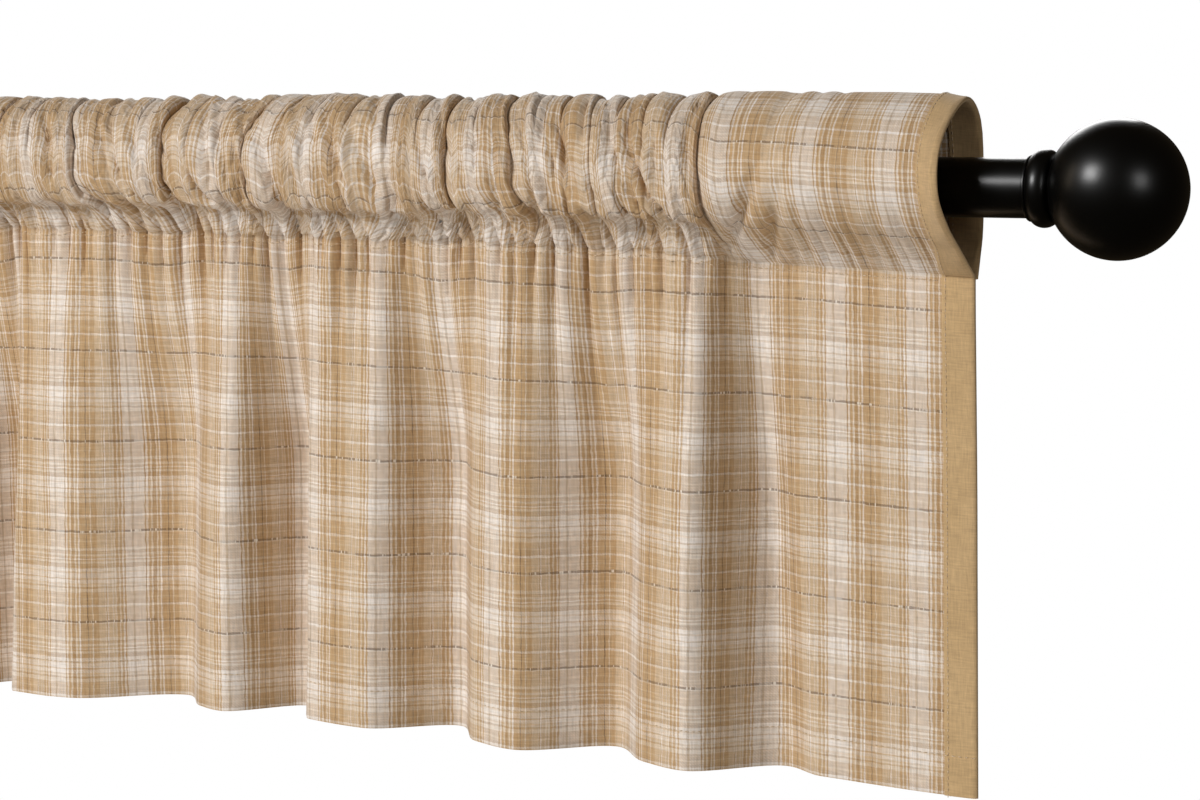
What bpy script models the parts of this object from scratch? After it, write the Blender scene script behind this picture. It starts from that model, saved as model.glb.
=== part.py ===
"""Rod-pocket valance, gathered on a curtain rod with ball finials.

The frame's origin is the right-hand bracket seat, on the rod's axis.  +X runs along the rod to the
right, -Y is the room side and +Z is up.  Tables are in millimetres, and everything built is in metres.
"""
import bpy
import bmesh
import math
from mathutils import Vector

MM = 0.001

# ---- Driving dimensions, in millimetres ----
ROD_DIAMETER = 25.4
ROD_WALL = 1.0
BALL_DIAMETER = 59.4
BEAD_DIAMETER = 33.2
VALANCE_WIDTH = 762.0        # finished width, as gathered on the rod
EDGE_TO_SEAT = 16.8          # from the valance's side edge to the bracket seat
SEAT_TO_ROD_END = 11.4       # from the bracket seat to the cut end of the tube
CLOTH = 1.0                  # thickness of every cloth layer
BINDING_WIDTH = 14.5         # finished width of the side binding
GAP = 0.3                    # clearance between separate pieces
FOLD_GAP = 0.45              # room on each side of the panel inside the folded binding
ROUND_SIDES = 32             # facets round a turned piece

ROD_RADIUS = ROD_DIAMETER / 2
LEFT_SEAT_X = -(VALANCE_WIDTH + 2 * EDGE_TO_SEAT)
CENTRE_X = LEFT_SEAT_X / 2
RIGHT_EDGE_X = -EDGE_TO_SEAT
LEFT_EDGE_X = LEFT_SEAT_X + EDGE_TO_SEAT

# ---- The cloth's section, from the stitch line round the pocket to its back edge ----
# Three versions of one loop, each (y, z): drawn up in gathers, lying flat, and at the flared mouth.
# `level` says where a row takes its x from: 0 the stitch line, 1 the cinch, 2 the front, 3 the top.
# `sink` is how far a gather sinks there, as a share of its own depth.
SECTION = (
    # gathered         flat              mouth           level  sink
    ((-5.0, -29.0), (12.5, -37.5), (12.5, -38.5), 0.0, 0.00),     # stitch line
    ((-13.5, -18.2), (-5.0, -24.6), (-8.0, -26.0), 1.0, 0.25),    # cinch, where the puffs are drawn in
    ((-22.2, -12.6), (-17.3, -14.9), (-24.0, -16.0), 1.6, 0.45),
    ((-27.5, -2.0), (-26.0, -1.0), (-37.8, -2.5), 2.0, 1.00),
    ((-28.0, 16.0), (-26.2, 14.5), (-37.8, 14.5), 2.0, 1.00),    # front of the pocket
    ((-17.5, 30.0), (-16.5, 30.0), (-23.0, 28.2), 2.5, 1.00),
    ((2.0, 37.0), (3.0, 39.5), (1.5, 37.3), 3.0, 0.80),          # top of the pocket
    ((18.0, 29.0), (18.0, 29.5), (17.5, 28.0), 2.8, 0.80),
    ((24.0, 8.0), (22.0, 6.0), (21.9, 6.0), 2.3, 0.80),          # back of the pocket
    ((20.5, -11.0), (22.0, -17.0), (21.8, -18.0), 1.6, 0.45),
    ((6.5, -20.5), (19.8, -30.0), (19.9, -30.0), 1.0, 0.00),
    ((-1.0, -31.5), (17.8, -39.5), (17.8, -40.5), 0.0, 0.00),     # turned-under back edge
)
STITCH_ROW, TOP_ROW, END_ROW = 0, 6, len(SECTION) - 1

# ---- Heights along the valance: (x, stitch line, top, hem) ----
HEIGHTS = (
    (-16.8, -38.5, 37.3, -264.4),
    (-31.5, -38.0, 39.3, -264.0),
    (-112.0, -34.8, 40.0, -259.4),
    (-165.0, -32.0, 39.0, -257.4),
    (-228.0, -29.8, 38.4, -255.6),
    (-303.0, -29.6, 38.4, -251.8),
    (-380.0, -28.4, 37.6, -249.7),
    (-458.0, -27.0, 36.6, -249.6),
    (-524.0, -27.6, 37.0, -250.4),
    (-588.0, -29.8, 38.0, -253.0),
    (-653.6, -33.0, 39.2, -257.2),
    (-683.6, -34.8, 40.0, -259.4),
    (-764.1, -38.0, 39.3, -264.0),
    (-778.8, -38.5, 37.3, -264.4),
)

# ---- Gathers in the pocket: x of each crease at four heights, its depth, and whether it is sharp ----
# A crease with a seat sinks far enough at the top to lie on the rod.
GATHERS = (
    # top   front   cinch  stitch  depth  seat
    (-494.0, -490.0, -489.0, -491.0, 4.5, False),
    (-477.0, -470.0, -467.0, -466.0, 4.5, False),
    (-457.0, -447.0, -439.0, -434.0, 9.0, True),
    (-436.0, -427.0, -422.0, -417.0, 4.0, False),
    (-417.0, -412.0, -407.0, -405.0, 3.5, False),
    (-400.0, -399.0, -393.0, -394.0, 8.5, False),
    (-386.0, -384.0, -380.0, -382.0, 4.0, False),
    (-369.0, -369.0, -366.0, -370.0, 5.5, False),
    (-350.0, -355.0, -354.0, -358.0, 9.5, True),
    (-334.0, -338.0, -338.0, -345.0, 3.0, False),
    (-322.0, -322.0, -322.0, -331.0, 5.0, False),
    (-305.0, -303.0, -306.0, -310.0, 5.5, False),
    (-288.0, -281.0, -285.0, -296.0, 7.5, False),
    (-271.0, -266.0, -267.0, -275.0, 4.0, False),
    (-256.0, -251.0, -248.0, -254.0, 9.0, True),
    (-243.0, -236.0, -231.0, -234.0, 4.0, False),
    (-229.0, -218.0, -212.0, -217.0, 9.0, False),
    (-214.0, -206.0, -203.0, -205.0, 3.5, False),
    (-201.0, -194.0, -194.0, -195.0, 6.5, False),
    (-187.0, -179.0, -181.0, -183.0, 5.5, False),
    (-174.0, -167.0, -163.0, -169.0, 5.0, False),
    (-160.0, -155.0, -153.0, -157.0, 5.5, False),
    (-146.0, -144.0, -141.0, -143.0, 4.5, False),
    (-131.0, -129.0, -128.0, -125.0, 11.0, True),
    (-116.0, -114.0, -113.0, -110.0, 2.0, False),
    (-98.0, -98.0, -97.0, -96.0, 1.0, False),
)
SHARP_DEPTH = 7.0            # creases deeper than this also get a column on each flank
FLANK = 0.27                 # where that column stands, as a share of the way to the next crease
FLANK_SINK = 0.4             # and how far it sinks, as a share of the crease
CREST_RISE = 0.8             # how far a puff's crest stands proud
PLEAT = 0.3                  # a crease's depth at the stitch line, as a share of its full depth
SEAT_Z = ROD_RADIUS + GAP + 0.1 + CLOTH / 2
MIRRORED_FROM = -292.0       # gathers to the right of this x are repeated, mirrored, at the left end

# ---- Flutes of the skirt, from right to left: x and y at the hem of each crest, of the steep edge
# on its left and of the valley after that, and how far all three lean left from stitch line to hem ----
FLUTES = (
    # crest   y      edge    y     valley  y    lean
    (-142.0, -13.0, -164.0, -5.0, -188.0, 19.0, 2.0),
    (-226.0, -12.5, -248.0, -6.0, -268.0, 19.0, 1.0),
    (-303.0, -13.0, -333.0, -8.0, -349.0, 19.0, 2.0),
    (-378.0, -13.0, -394.0, -5.0, -415.0, 18.0, 6.0),
    (-459.0, -13.0, -490.0, -8.0, -509.0, 18.0, 9.5),
    (-533.0, -12.0, -550.0, -5.0, -569.0, 17.0, 4.0),
    (-596.0, -13.0, -617.0, -5.0, -636.0, 17.0, 1.0),
    (-657.0, -13.0, -671.0, -1.0, -688.0, 24.0, -4.0),
)
LAST_VALLEY = (-107.0, 24.0, -13.0)  # x, y and lean of the valley beside the flat right end
FLAT_START_X = -88.0         # where the flat right end starts, and how far that line leans
FLAT_LEAN = -15.0
FLAT_Y = 14.0                # y of the skirt in its flat ends
GATHERED_Y = 1.0             # mean y of the gathered skirt
FLUTE_AT_STITCH = 0.45       # share of a flute's depth at the stitch line
SKIRT_ROWS = (0.0, 0.36, 0.72)       # heights of the skirt's rows: 0 at the hem, 1 at the stitch line


def smooth_step(value, low, high):
    """0 up to low, 1 from high on, and a smooth ramp between them."""
    share = min(1.0, max(0.0, (value - low) / (high - low)))
    return share * share * (3 - 2 * share)


def mix(first, second, share):
    return first + (second - first) * share


def through(knots, x):
    """A smooth value through (x, value) knots that run from right to left, with no overshoot."""
    if x >= knots[0][0]:
        return knots[0][1]
    if x <= knots[-1][0]:
        return knots[-1][1]
    spans = [near[0] - far[0] for near, far in zip(knots, knots[1:])]
    rises = [(far[1] - near[1]) / span for near, far, span in zip(knots, knots[1:], spans)]
    slopes = [0.0] * len(knots)
    for i in range(1, len(knots) - 1):
        if rises[i - 1] * rises[i] > 0:
            slopes[i] = 2 * rises[i - 1] * rises[i] / (rises[i - 1] + rises[i])
    i = next(k for k in range(len(spans)) if x >= knots[k + 1][0])
    share = (knots[i][0] - x) / spans[i]
    ease = share * share * (3 - 2 * share)
    swing = share * (1 - share) * spans[i] * ((1 - share) * slopes[i] - share * slopes[i + 1])
    return mix(knots[i][1], knots[i + 1][1], ease) + swing


def height_at(x, column):
    """Read a column of HEIGHTS at x."""
    return through([(row[0], row[column]) for row in HEIGHTS], x)


def flatness(x):
    """1 in the two ungathered ends of the valance, 0 between them."""
    from_centre = abs(x - CENTRE_X)
    return smooth_step(from_centre, 260.0, 284.0)


def flare(x):
    """1 at the pocket's mouth, fading to 0 at the inner edge of the binding."""
    from_edge = VALANCE_WIDTH / 2 - abs(x - CENTRE_X)
    return (1.0 - smooth_step(from_edge, -6.0, BINDING_WIDTH)) / (1.0 - smooth_step(0, -6.0, BINDING_WIDTH))


def flute_y(x, height):
    """The skirt's y at a height between the hem (0) and the stitch line (1)."""
    valley_x, valley_y, lean = LAST_VALLEY
    knots = [(FLAT_START_X + FLAT_LEAN * height, FLAT_Y), (valley_x + lean * height, valley_y)]
    for crest_x, crest_y, edge_x, edge_y, valley_x, valley_y, lean in FLUTES:
        shift = lean * height
        knots += [(crest_x + shift, crest_y), (edge_x + shift, edge_y), (valley_x + shift, valley_y)]
    knots.append((LEFT_SEAT_X - FLAT_START_X - FLAT_LEAN * height, FLAT_Y))
    return through(knots, x)


def section_point(x, row):
    """A point of the ungathered loop at one row of SECTION, with the way out of the cloth there."""
    blend, mouth = flatness(x), flare(x)
    stitch_z, top_z = height_at(x, 1), height_at(x, 2)
    loop = []
    for gathered, flat, rim, _, _ in SECTION:
        y = mix(mix(gathered[0], flat[0], blend), rim[0], mouth)
        z = mix(mix(gathered[1], flat[1], blend), rim[1], mouth)
        loop.append(Vector((y, z)))
    low, high = loop[STITCH_ROW].y, loop[TOP_ROW].y
    for point in loop:
        point.y = mix(stitch_z, top_z, (point.y - low) / (high - low))
    before, after = loop[max(row - 1, 0)], loop[min(row + 1, len(loop) - 1)]
    along = (after - before).normalized()
    return loop[row], Vector((-along.y, along.x))


def stitch_shift(x):
    """How far the flutes push both layers at the stitch line."""
    return (flute_y(x, 1.0) - GATHERED_Y) * FLUTE_AT_STITCH * (1.0 - flatness(x))


def loop_point(x, row, sink, seated):
    """A point of the pocket, sunk into a crease by `sink`; a seated crease reaches the rod."""
    base, outward = section_point(x, row)
    point = base - outward * (sink * SECTION[row][4])
    if seated and row == TOP_ROW:
        point = base - outward * ((base.y - SEAT_Z) * seated)
    from_stitch = min(row - STITCH_ROW, END_ROW - row)
    nearness = max(0.0, 1.0 - from_stitch / 2.0)
    point.x += (stitch_shift(x) + sink * PLEAT) * nearness
    return Vector((x, point.x, point.y))


def skirt_point(x, height, sink):
    """A point of the skirt; the gathers die out below the stitch line."""
    top = loop_point(x, STITCH_ROW, sink, 0.0)
    swing = smooth_step(height, 0.5, 1.0)
    y = mix(flute_y(x, height), top.y, swing)
    return Vector((x, y, mix(height_at(x, 3), top.z, height)))


def all_gathers():
    """The table's gathers from left to right, with the right end's repeated at the left."""
    repeated = []
    for top, front, cinch, stitch, depth, seat in GATHERS:
        if front > MIRRORED_FROM:
            places = [LEFT_SEAT_X - x for x in (top, front, cinch, stitch)]
            repeated.append((*places, depth, seat))
    return sorted(repeated + list(GATHERS), key=lambda gather: gather[1])


def columns():
    """Each column is its x at the four levels, its sink, and how far it is seated on the rod."""
    gathers = all_gathers()
    result = []
    for gather, following in zip(gathers, gathers[1:]):
        here, after = gather[:4], following[:4]
        result.append((here, gather[4], float(gather[5])))
        for share, side in ((FLANK, gather), (0.5, None), (1 - FLANK, following)):
            places = tuple(mix(a, b, share) for a, b in zip(here, after))
            if side is None:
                result.append((places, -CREST_RISE, 0.0))
            elif side[4] > SHARP_DEPTH:
                result.append((places, side[4] * FLANK_SINK, side[5] * FLANK_SINK))
    last = gathers[-1]
    result.append((last[:4], last[4], float(last[5])))
    return result


def edge_columns(inset):
    """Plain columns across one flat end, as distances from the finished edge, `inset` the first."""
    return (inset, 4.5, 9.0, BINDING_WIDTH - 1.0, 20.0, 34.0, 50.0, 66.0)


def place_at_row(places, row):
    """A column's x at a row of the pocket, read between its places at the row's level."""
    by_level = places[::-1]
    level = SECTION[row][3]
    low = min(int(level), 2)
    return mix(by_level[low], by_level[low + 1], level - low)


def cloth_rows(places, sink, seated):
    """The points of one column, from the hem up the front, over the top and down the back."""
    points = [skirt_point(places[3], height, sink) for height in SKIRT_ROWS]
    for row in range(len(SECTION)):
        points.append(loop_point(place_at_row(places, row), row, sink, seated))
    return points


def edge_rows(x):
    return cloth_rows((x, x, x, x), 0.0, 0.0)


def layer_normals(grid):
    """Unit normals of a grid of points, pointing out of the pocket and to the room."""
    normals = []
    for i, column in enumerate(grid):
        left, right = grid[max(i - 1, 0)], grid[min(i + 1, len(grid) - 1)]
        line = []
        for j in range(len(column)):
            across = right[j] - left[j]
            along = column[min(j + 1, len(column) - 1)] - column[max(j - 1, 0)]
            line.append(across.cross(along).normalized())
        normals.append(line)
    return normals


def fill_grid(bm, points, flip, wrap=False):
    """Quads between neighbouring columns of vertices."""
    count = len(points)
    for i in range(count if wrap else count - 1):
        first, second = points[i], points[(i + 1) % count]
        for j in range(len(first) - 1):
            quad = (first[j], second[j], second[j + 1], first[j + 1])
            bm.faces.new(quad[::-1] if flip else quad)


def finish(name, bm, material):
    """Make the object, with its own material, from a mesh whose points are in millimetres."""
    bmesh.ops.recalc_face_normals(bm, faces=bm.faces)
    bmesh.ops.triangulate(bm, faces=bm.faces)
    bmesh.ops.scale(bm, vec=(MM, MM, MM), verts=bm.verts)
    mesh = bpy.data.meshes.new(name)
    bm.to_mesh(mesh)
    bm.free()
    mesh.shade_smooth()
    mesh.set_sharp_from_angle(angle=math.radians(40))
    mesh.materials.append(material)
    thing = bpy.data.objects.new(name, mesh)
    bpy.context.scene.collection.objects.link(thing)
    return thing


def plain_material(name, colour, roughness, metallic=0.0):
    material = bpy.data.materials.new(name)
    material.use_nodes = True
    shader = material.node_tree.nodes["Principled BSDF"]
    shader.inputs["Base Color"].default_value = (*colour, 1.0)
    shader.inputs["Roughness"].default_value = roughness
    shader.inputs["Metallic"].default_value = metallic
    return material


def turned(name, profile, material, mirrored=False):
    """A solid turned about the rod's axis from (x, radius) points that start and end on the axis."""
    bm = bmesh.new()
    rings = []
    for x, radius in profile:
        place = LEFT_SEAT_X - x if mirrored else x
        if radius == 0.0:
            rings.append([bm.verts.new((place, 0.0, 0.0))])
            continue
        turns = [2 * math.pi * k / ROUND_SIDES for k in range(ROUND_SIDES)]
        rings.append([bm.verts.new((place, radius * math.cos(a), radius * math.sin(a))) for a in turns])
    for first, second in zip(rings, rings[1:]):
        for k in range(ROUND_SIDES):
            after = (k + 1) % ROUND_SIDES
            if len(first) == 1:
                bm.faces.new((first[0], second[k], second[after]))
            elif len(second) == 1:
                bm.faces.new((first[k], first[after], second[0]))
            else:
                bm.faces.new((first[k], first[after], second[after], second[k]))
    return finish(name, bm, material)


def arc(centre_x, centre_r, radius, start, end, steps):
    """Points (x, r) on an arc; angles are in degrees from the +X direction."""
    result = []
    for k in range(steps + 1):
        angle = math.radians(mix(start, end, k / steps))
        result.append((centre_x + radius * math.cos(angle), centre_r + radius * math.sin(angle)))
    return result


# ---- Finial: a collar that plugs into the tube, and a ball that screws onto the collar ----
SPIGOT_RADIUS = ROD_RADIUS - ROD_WALL - GAP
SPIGOT_LENGTH = 18.0
COLLAR_START = SEAT_TO_ROD_END + GAP
RING_RADIUS = 14.2
RING_WIDTH = 1.3
GROOVE_RADIUS = 13.0
BEAD_X = 18.0
BEAD_HALF_WIDTH = 5.0
COLLAR_END = 23.6
STUD_RADIUS = 4.0
STUD_LENGTH = 9.0
BALL_X = 49.5
BALL_FACE_X = COLLAR_END + GAP


def collar_profile():
    """From the foot of the blind hole for the ball's stud, round the outside, to the spigot's end."""
    hole_radius, hole_foot = STUD_RADIUS + GAP, COLLAR_END - STUD_LENGTH - 2 * GAP
    rise = BEAD_DIAMETER / 2 - GROOVE_RADIUS
    bead = [(BEAD_X + BEAD_HALF_WIDTH * math.cos(a), GROOVE_RADIUS + rise * math.sin(a))
            for a in (math.pi * k / 8 for k in range(9))]
    ring_end = COLLAR_START + RING_WIDTH
    return [(hole_foot, 0.0), (hole_foot, hole_radius), (COLLAR_END, hole_radius),
            (COLLAR_END, GROOVE_RADIUS), *bead, (ring_end, GROOVE_RADIUS),
            (ring_end - 0.2, RING_RADIUS), (COLLAR_START + 0.2, RING_RADIUS),
            (COLLAR_START, RING_RADIUS - 0.4), (COLLAR_START, SPIGOT_RADIUS),
            (COLLAR_START - SPIGOT_LENGTH, SPIGOT_RADIUS), (COLLAR_START - SPIGOT_LENGTH, 0.0)]


def ball_profile():
    """From the stud's end to the face against the collar, and round the ball to its far pole."""
    radius = BALL_DIAMETER / 2
    face_angle = math.degrees(math.acos((BALL_FACE_X - BALL_X) / radius))
    surface = arc(BALL_X, 0.0, radius, face_angle, 0.0, 14)[:-1]
    stud_end = BALL_FACE_X - STUD_LENGTH
    return [(stud_end, 0.0), (stud_end, STUD_RADIUS), (BALL_FACE_X, STUD_RADIUS), *surface,
            (BALL_X + radius, 0.0)]


def rod_tube(material):
    """The steel tube, open at both ends."""
    bm = bmesh.new()
    ends = (LEFT_SEAT_X - SEAT_TO_ROD_END, SEAT_TO_ROD_END)
    outline = [(ends[0], ROD_RADIUS), (ends[1], ROD_RADIUS),
               (ends[1], ROD_RADIUS - ROD_WALL), (ends[0], ROD_RADIUS - ROD_WALL)]
    rings = []
    for k in range(ROUND_SIDES):
        angle = 2 * math.pi * k / ROUND_SIDES
        ring = [bm.verts.new((x, r * math.cos(angle), r * math.sin(angle))) for x, r in outline]
        rings.append(ring + ring[:1])
    fill_grid(bm, rings, flip=False, wrap=True)
    return finish("rod_tube", bm, material)


def valance_panel(material):
    """The plaid cloth: skirt, gathered front, top and back of the pocket, in one folded sheet."""
    inset = CLOTH + FOLD_GAP + 0.25
    grid = [edge_rows(LEFT_EDGE_X + step) for step in edge_columns(inset)]
    grid += [cloth_rows(places, sink, seated) for places, sink, seated in columns()]
    grid += [edge_rows(RIGHT_EDGE_X - step) for step in reversed(edge_columns(inset))]
    normals = layer_normals(grid)
    bm = bmesh.new()
    faces = []
    for side in (0.5, -0.5):
        faces.append([[bm.verts.new(p + n * (CLOTH * side)) for p, n in zip(column, line)]
                      for column, line in zip(grid, normals)])
    front, back = faces
    fill_grid(bm, front, flip=False)
    fill_grid(bm, back, flip=True)
    for end, flip in ((0, True), (-1, False)):
        fill_grid(bm, [front[end], back[end]], flip=flip)
        hem = [[column[end] for column in front], [column[end] for column in back]]
        fill_grid(bm, hem, flip=not flip)
    return finish("valance_panel", bm, material)


def side_binding(name, edge_x, inward, material):
    """A strip folded over the panel's raw side edge; `inward` is the x direction into the cloth."""
    steps = (0.0, CLOTH + 0.2, 4.5, 9.0, BINDING_WIDTH - 1.0, BINDING_WIDTH)
    grid = [edge_rows(edge_x + inward * step) for step in steps]
    if inward < 0:
        grid.reverse()
    normals = layer_normals(grid)
    if inward < 0:
        grid.reverse()
        normals.reverse()
    inner, outer = CLOTH / 2 + FOLD_GAP, CLOTH * 1.5 + FOLD_GAP
    last = len(steps) - 1
    ring = [(i, outer) for i in range(last, 0, -1)] + [(0, inner), (0, -inner)]
    ring += [(i, -outer) for i in range(1, last + 1)]
    ring += [(i, -inner) for i in range(last, 0, -1)] + [(i, inner) for i in range(1, last + 1)]
    bm = bmesh.new()
    strips = []
    for i, lift in ring:
        strips.append([bm.verts.new(p + n * lift) for p, n in zip(grid[i], normals[i])])
    fill_grid(bm, strips, flip=inward > 0, wrap=True)
    for end in (0, -1):
        bm.faces.new([strip[end] for strip in strips])
    return finish(name, bm, material)


for old in list(bpy.data.objects):
    bpy.data.objects.remove(old, do_unlink=True)

rod_tube(plain_material("rod_black", (0.012, 0.012, 0.013), 0.35))
for side, mirrored in (("right", False), ("left", True)):
    turned(f"finial_collar_{side}", collar_profile(),
           plain_material(f"collar_black_{side}", (0.012, 0.012, 0.013), 0.3), mirrored)
    turned(f"finial_ball_{side}", ball_profile(),
           plain_material(f"ball_black_{side}", (0.012, 0.012, 0.013), 0.3), mirrored)
valance_panel(plain_material("plaid_cloth", (0.62, 0.47, 0.30), 0.9))
for side, edge_x, inward in (("right", RIGHT_EDGE_X, -1.0), ("left", LEFT_EDGE_X, 1.0)):
    side_binding(f"side_binding_{side}", edge_x, inward,
                 plain_material(f"tan_binding_{side}", (0.45, 0.33, 0.18), 0.9))
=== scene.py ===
import bpy
import math
import numpy as np
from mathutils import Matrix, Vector


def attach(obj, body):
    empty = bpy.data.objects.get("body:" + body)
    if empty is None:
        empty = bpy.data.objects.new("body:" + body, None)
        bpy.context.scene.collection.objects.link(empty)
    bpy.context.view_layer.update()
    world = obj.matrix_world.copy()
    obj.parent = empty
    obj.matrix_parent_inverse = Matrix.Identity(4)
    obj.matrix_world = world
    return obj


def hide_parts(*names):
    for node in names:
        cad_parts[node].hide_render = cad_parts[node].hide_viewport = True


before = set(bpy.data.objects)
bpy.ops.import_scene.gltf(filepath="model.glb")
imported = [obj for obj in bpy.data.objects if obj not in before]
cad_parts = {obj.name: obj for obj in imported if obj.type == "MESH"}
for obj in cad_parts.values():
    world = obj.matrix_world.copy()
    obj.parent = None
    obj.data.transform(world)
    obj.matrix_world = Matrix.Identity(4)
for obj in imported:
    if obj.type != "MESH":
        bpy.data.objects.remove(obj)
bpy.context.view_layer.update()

# ---- Camera, floor and studio light ----
# The valance hangs in the air on its rod.  The camera stands in front of it, past its right end and a
# little above the rod.  Five soft boxes and a faint warm room light it before a white backdrop.
camera_data = bpy.data.cameras.new("view_from_right")
camera_data.lens = 105.0
camera_data.sensor_width = 36.0
camera = bpy.data.objects.new("view_from_right", camera_data)
camera.location = (0.46877, -1.40717, 0.04513)
camera.rotation_euler = (math.radians(90 - 5.224), 0.0, math.radians(25))
bpy.context.scene.collection.objects.link(camera)
bpy.context.scene.camera = camera
bpy.context.scene.view_settings.view_transform = "Standard"

world = bpy.data.worlds.new("white_room")
world.use_nodes = True
room = world.node_tree
room.nodes["Background"].inputs["Color"].default_value = (1.0, 0.74, 0.45, 1.0)
room.nodes["Background"].inputs["Strength"].default_value = 0.035
backdrop = room.nodes.new("ShaderNodeBackground")
backdrop.inputs["Color"].default_value = (1.0, 1.0, 1.0, 1.0)
seen = room.nodes.new("ShaderNodeLightPath")
either = room.nodes.new("ShaderNodeMixShader")
room.links.new(seen.outputs["Is Camera Ray"], either.inputs["Fac"])
room.links.new(room.nodes["Background"].outputs[0], either.inputs[1])
room.links.new(backdrop.outputs[0], either.inputs[2])
room.links.new(either.outputs[0], room.nodes["World Output"].inputs["Surface"])
bpy.context.scene.world = world


def soft_box(name, towards, distance, width, height, power, colour=(1.0, 1.0, 1.0), in_gloss=True):
    """An area light in the direction `towards` from near the part's middle, facing that place."""
    light = bpy.data.lights.new(name, "AREA")
    light.shape = "RECTANGLE"
    light.size, light.size_y = width, height
    light.energy = power
    light.color = colour
    lamp = bpy.data.objects.new(name, light)
    reach = np.array(towards) / np.linalg.norm(towards) * distance
    lamp.location = reach + np.array((-0.25, 0.0, -0.08))
    lamp.rotation_euler = Vector(-reach).to_track_quat("-Z", "Y").to_euler()
    lamp.visible_glossy = in_gloss
    bpy.context.scene.collection.objects.link(lamp)


soft_box("key_light", (-0.385, -0.80, 0.47), distance=2.6, width=0.84, height=0.80, power=56.0)
soft_box("left_light", (-0.90, -0.40, 0.35), distance=2.4, width=0.5, height=1.2, power=3.0,
         colour=(1.0, 0.82, 0.60))
soft_box("right_light", (0.81, -0.53, 0.27), distance=3.0, width=0.8, height=0.9, power=13.0)
soft_box("back_light", (-0.30, 0.85, 0.42), distance=2.8, width=1.4, height=1.0, power=26.0)
soft_box("low_fill", (-0.10, -0.52, -0.85), distance=1.1, width=1.6, height=0.7, power=5.6,
         in_gloss=False)

FLOOR_RADIUS, FLOOR_Z = 3.3, -1.1
FLOOR_SIDES = 96
floor_mesh = bpy.data.meshes.new("studio_floor")
rim = [2 * math.pi * k / FLOOR_SIDES for k in range(FLOOR_SIDES)]
floor_mesh.from_pydata([(FLOOR_RADIUS * math.cos(a) - 0.4, FLOOR_RADIUS * math.sin(a), FLOOR_Z)
                        for a in rim], [], [tuple(range(FLOOR_SIDES))])
floor = bpy.data.objects.new("studio_floor", floor_mesh)
floor.visible_glossy = False
bpy.context.scene.collection.objects.link(floor)
floor_paint = bpy.data.materials.new("studio_floor")
floor_paint.use_nodes = True
floor_paint.node_tree.nodes["Principled BSDF"].inputs["Base Color"].default_value = (0.60, 0.58, 0.55, 1)
floor_paint.node_tree.nodes["Principled BSDF"].inputs["Roughness"].default_value = 0.9
floor_mesh.materials.append(floor_paint)

# ---- Curtain rod ----
# A one inch steel tube, drawn and welded, then powder coated in a fine satin black.  It is threaded
# through the valance's pocket, and both its ends are open until the finials are pushed in.
MM = 0.001
ROD_RADIUS = 12.7
ROD_WALL = 1.0
ROD_CHAMFER = 0.15
SEAT_TO_ROD_END = 11.4
LEFT_SEAT_X = -795.6


def node(tree, kind, settings=None, **inputs):
    """Add a shader or geometry node; an input's value is a number, a colour or another's output."""
    made = tree.nodes.new(kind)
    for key, value in (settings or {}).items():
        setattr(made, key, value)
    for key, value in inputs.items():
        socket = made.inputs[int(key[1:])] if key[0] == "i" and key[1:].isdigit() else \
            made.inputs[key.replace("_", " ")]
        if isinstance(value, bpy.types.NodeSocket):
            tree.links.new(value, socket)
        else:
            socket.default_value = value
    return made


def finish_piece(name, mesh, replaced=None):
    """Link a finished mesh as a piece that rides on the part's one body."""
    piece = bpy.data.objects.new(name, mesh)
    bpy.context.scene.collection.objects.link(piece)
    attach(piece, "root")
    if replaced:
        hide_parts(replaced)
    return piece


satin_black = bpy.data.materials.new("satin_black_paint")
satin_black.use_nodes = True
tree = satin_black.node_tree
paint = tree.nodes["Principled BSDF"]
paint.inputs["Base Color"].default_value = (0.0008, 0.0008, 0.0007, 1.0)
paint.inputs["Specular IOR Level"].default_value = 0.40
place = node(tree, "ShaderNodeTexCoord")
orange_peel = node(tree, "ShaderNodeTexNoise", Vector=place.outputs["Object"], Scale=900.0, Detail=3.0)
cloudy = node(tree, "ShaderNodeTexNoise", Vector=place.outputs["Object"], Scale=45.0, Detail=2.0)
gloss = node(tree, "ShaderNodeMapRange", Value=cloudy.outputs["Fac"], i1=0.3, i2=0.7, i3=0.29, i4=0.34)
tree.links.new(gloss.outputs[0], paint.inputs["Roughness"])
bump = node(tree, "ShaderNodeBump", Height=orange_peel.outputs["Fac"], Strength=0.12, Distance=0.00006)
tree.links.new(bump.outputs["Normal"], paint.inputs["Normal"])


def turned(name, profile, sides, mirrored=False):
    """A mesh turned about the rod's axis from (x, radius) points in millimetres, in a closed ring
    or from axis to axis."""
    points, faces, rings = [], [], []
    for x, radius in profile:
        x = LEFT_SEAT_X - x if mirrored else x
        first = len(points)
        turns = [2 * math.pi * k / sides for k in range(sides if radius else 1)]
        points += [(x * MM, radius * math.cos(a) * MM, radius * math.sin(a) * MM) for a in turns]
        rings.append([first + k % len(turns) for k in range(sides)])
    pairs = list(zip(rings, rings[1:]))
    if profile[0][1]:
        pairs.append((rings[-1], rings[0]))
    for one, other in pairs:
        for k in range(sides):
            after = (k + 1) % sides
            corner = list(dict.fromkeys([one[k], one[after], other[after], other[k]]))
            faces.append(corner[::-1] if not mirrored else corner)
    mesh = bpy.data.meshes.new(name)
    mesh.from_pydata(points, [], faces)
    mesh.shade_smooth()
    mesh.set_sharp_from_angle(angle=math.radians(35))
    mesh.materials.append(satin_black)
    return mesh


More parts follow.
